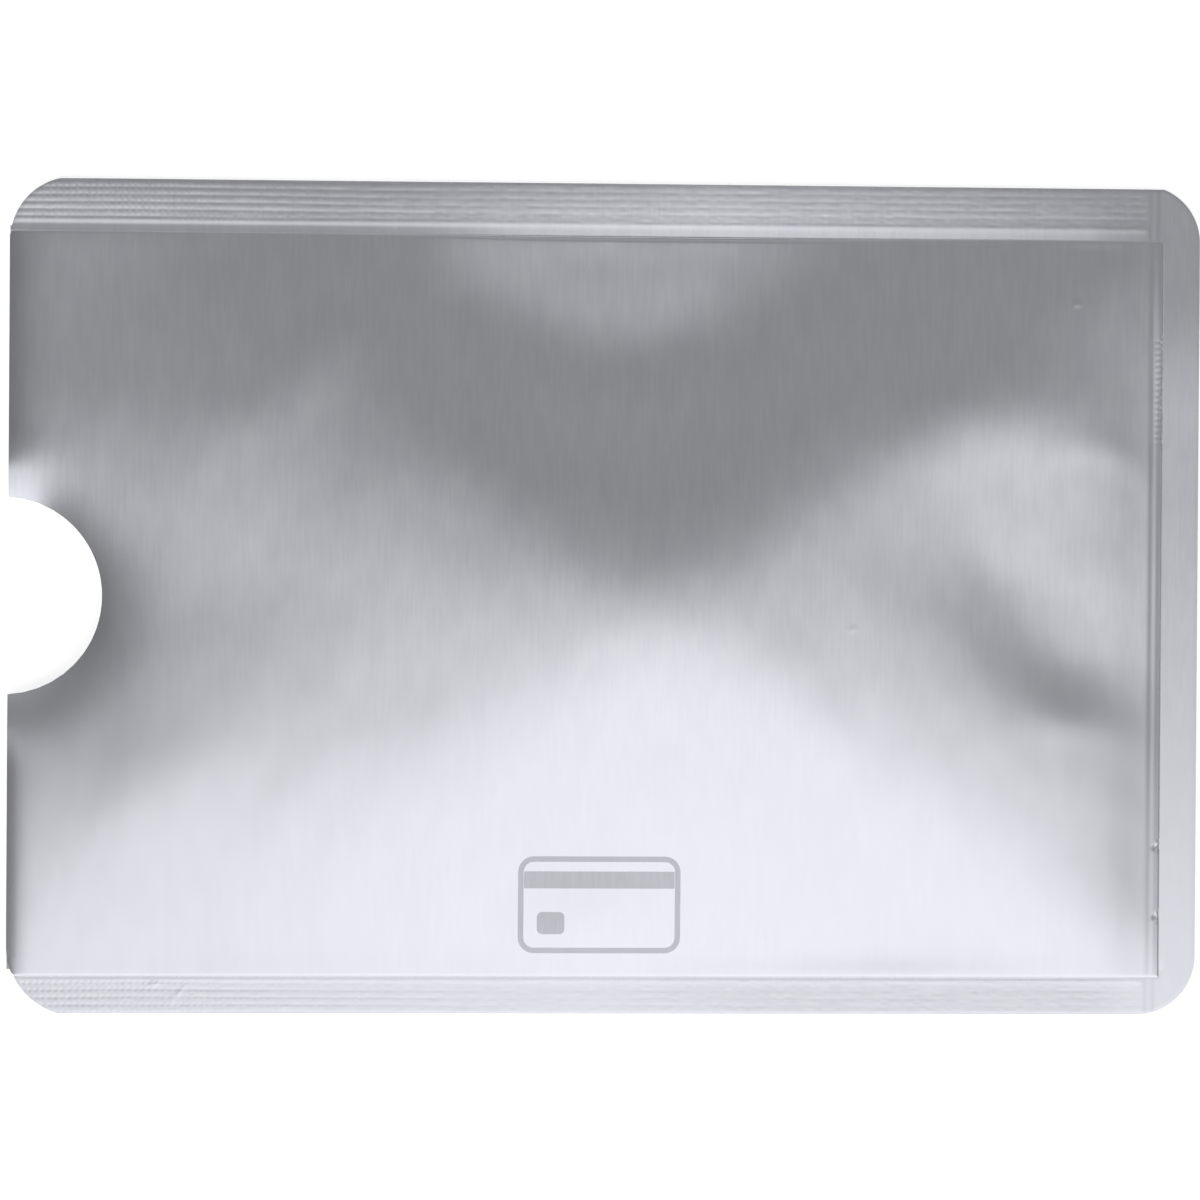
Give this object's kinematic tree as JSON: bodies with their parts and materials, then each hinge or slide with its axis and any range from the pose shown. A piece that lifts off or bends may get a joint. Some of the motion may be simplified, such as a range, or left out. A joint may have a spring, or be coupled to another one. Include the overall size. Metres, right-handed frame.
{
  "type": "card sleeve",
  "caption": "Flat foil-laminate sleeve for a bank card, heat-sealed on both long sides and one end, with an open mouth and a half-round thumb notch.",
  "frame": {"origin": "middle of the footprint, on the surface that the sleeve lies on", "axes": "+X along the sleeve from its open mouth to its sealed end, +Y across it, +Z out of the front wall"},
  "size_m": [0.091, 0.0634, 0.0023],
  "materials": {
    "outer_film": "silver metallised film, satin with fine rolling streaks",
    "shield_foil": "bright rolled foil",
    "inner_film": "satin sealing film over foil",
    "fused_film": "fused sealing film, ribbed by the jaws"
  },
  "bodies": {
    "root": {"back_film": "outer_film", "back_foil": "shield_foil", "back_liner": "inner_film", "front_liner": "inner_film", "front_foil": "shield_foil", "front_film": "outer_film", "upper_seal": "fused_film", "lower_seal": "fused_film", "end_seal": "fused_film"}
  },
  "joints": []
}
